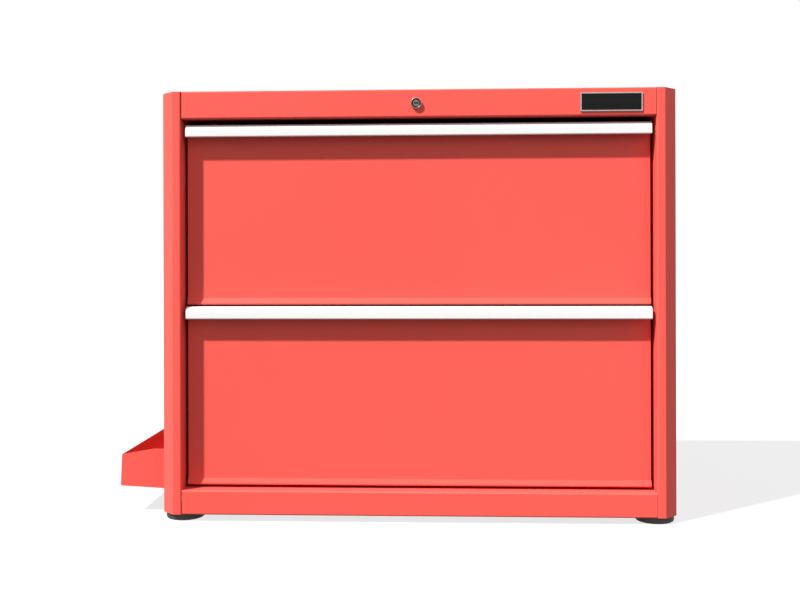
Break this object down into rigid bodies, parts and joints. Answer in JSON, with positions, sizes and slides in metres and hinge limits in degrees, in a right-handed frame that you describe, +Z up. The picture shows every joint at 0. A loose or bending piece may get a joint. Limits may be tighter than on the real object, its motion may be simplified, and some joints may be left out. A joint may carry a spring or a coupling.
{
  "type": "tool cabinet",
  "caption": "Wide red sheet-steel tool cabinet with deep ball-slide drawers, full-width bar handles, a cam lock in the top rail, round rubber feet and an open tray on its left side.",
  "frame": {"origin": "middle of the whole object's footprint at floor level, with the side tray on the left and the lock head in front counted, so the cabinet's own centreline lies at x = 0.0455 m", "axes": "+Z up, -Y out of the front, where the drawers open, +X to the right as seen from the front"},
  "size_m": [1.0047, 0.4648, 0.7652],
  "materials": {
    "red_paint": "smooth red powder coat, satin gloss, on folded sheet steel",
    "drawer_paint": "smooth red powder coat, satin gloss, on folded sheet steel",
    "handle_metal": "bright fine-brushed clear-coated aluminium",
    "slide_steel": "bright zinc-plated steel",
    "fastener_steel": "zinc-plated steel",
    "foot_rubber": "black moulded rubber",
    "lock_metal": "satin nickel-plated, darker on the rim of the housing",
    "badge_rim": "bright chrome",
    "badge_black": "plain black gloss, no lettering"
  },
  "bodies": {
    "cabinet": {"side_panel_left": "red_paint", "side_panel_right": "red_paint", "upright_front_left": "red_paint", "upright_front_right": "red_paint", "upright_rear_left": "red_paint", "upright_rear_right": "red_paint", "top_panel": "red_paint", "floor_pan": "red_paint", "back_panel": "red_paint", "slide_bumpers": "foot_rubber", "upright_rivets": "fastener_steel", "badge_frame": "badge_rim", "badge_field": "badge_black", "foot_pads": "foot_rubber", "foot_brackets": "red_paint", "foot_bolts": "fastener_steel", "foot_nuts": "fastener_steel", "lock_housing": "lock_metal", "lock_nut": "fastener_steel", "lock_guide_screws": "fastener_steel", "side_tray": "red_paint", "side_tray_screws": "fastener_steel", "side_tray_nuts": "fastener_steel", "upper_slide_outer_left": "slide_steel", "upper_slide_outer_right": "slide_steel", "lower_slide_outer_left": "slide_steel", "lower_slide_outer_right": "slide_steel"},
    "upper_drawer": {"upper_drawer_front": "drawer_paint", "upper_drawer_box": "drawer_paint", "upper_drawer_back": "drawer_paint", "upper_handle": "handle_metal", "upper_handle_screws": "fastener_steel", "upper_drawer_rivets": "fastener_steel", "upper_lock_catch": "slide_steel", "upper_slide_inner_left": "slide_steel", "upper_slide_inner_right": "slide_steel"},
    "lower_drawer": {"lower_drawer_front": "drawer_paint", "lower_drawer_box": "drawer_paint", "lower_drawer_back": "drawer_paint", "lower_handle": "handle_metal", "lower_handle_screws": "fastener_steel", "lower_drawer_rivets": "fastener_steel", "lower_lock_catch": "slide_steel", "lower_slide_inner_left": "slide_steel", "lower_slide_inner_right": "slide_steel"},
    "upper_slide_middles": {"upper_slide_middle_left": "slide_steel", "upper_slide_middle_right": "slide_steel"},
    "lower_slide_middles": {"lower_slide_middle_left": "slide_steel", "lower_slide_middle_right": "slide_steel"},
    "upper_outer_cages": {"upper_outer_ball_cages": "slide_steel"},
    "upper_inner_cages": {"upper_inner_ball_cages": "slide_steel"},
    "lower_outer_cages": {"lower_outer_ball_cages": "slide_steel"},
    "lower_inner_cages": {"lower_inner_ball_cages": "slide_steel"},
    "lock_cylinder_plug": {"lock_plug": "lock_metal", "lock_cam": "slide_steel", "lock_cam_screw": "fastener_steel"},
    "locking_bar": {"lock_link": "slide_steel", "lock_bar": "slide_steel", "lock_link_rivets": "fastener_steel"}
  },
  "joints": [
    {"name": "upper_drawer_slide", "type": "slide", "parent": "cabinet", "child": "upper_drawer", "axis": [0, -1, 0], "range_m": [0, 0.38]},
    {"name": "upper_middle_slide", "type": "slide", "parent": "cabinet", "child": "upper_slide_middles", "axis": [0, -1, 0], "range_m": [0, 0.19]},
    {"name": "upper_outer_cage_slide", "type": "slide", "parent": "cabinet", "child": "upper_outer_cages", "axis": [0, -1, 0], "range_m": [0, 0.095]},
    {"name": "upper_inner_cage_slide", "type": "slide", "parent": "cabinet", "child": "upper_inner_cages", "axis": [0, -1, 0], "range_m": [0, 0.285]},
    {"name": "lower_drawer_slide", "type": "slide", "parent": "cabinet", "child": "lower_drawer", "axis": [0, -1, 0], "range_m": [0, 0.38]},
    {"name": "lower_middle_slide", "type": "slide", "parent": "cabinet", "child": "lower_slide_middles", "axis": [0, -1, 0], "range_m": [0, 0.19]},
    {"name": "lower_outer_cage_slide", "type": "slide", "parent": "cabinet", "child": "lower_outer_cages", "axis": [0, -1, 0], "range_m": [0, 0.095]},
    {"name": "lower_inner_cage_slide", "type": "slide", "parent": "cabinet", "child": "lower_inner_cages", "axis": [0, -1, 0], "range_m": [0, 0.285]},
    {"name": "lock_turn", "type": "hinge", "parent": "cabinet", "child": "lock_cylinder_plug", "pos_m": [0.04545, -0.2276, 0.7402], "axis": [0, 1, 0], "range_deg": [0, 90]},
    {"name": "lock_bar_slide", "type": "slide", "parent": "cabinet", "child": "locking_bar", "axis": [1, 0, 0], "range_m": [0, 0.012]}
  ],
  "couplings": [
    {"joint": "upper_middle_slide", "follows": "upper_drawer_slide", "ratio": 0.5},
    {"joint": "upper_outer_cage_slide", "follows": "upper_drawer_slide", "ratio": 0.25},
    {"joint": "upper_inner_cage_slide", "follows": "upper_drawer_slide", "ratio": 0.75},
    {"joint": "lower_middle_slide", "follows": "lower_drawer_slide", "ratio": 0.5},
    {"joint": "lower_outer_cage_slide", "follows": "lower_drawer_slide", "ratio": 0.25},
    {"joint": "lower_inner_cage_slide", "follows": "lower_drawer_slide", "ratio": 0.75},
    {"joint": "lock_turn", "follows": "lock_bar_slide", "rad_per_m": 130.9}
  ]
}
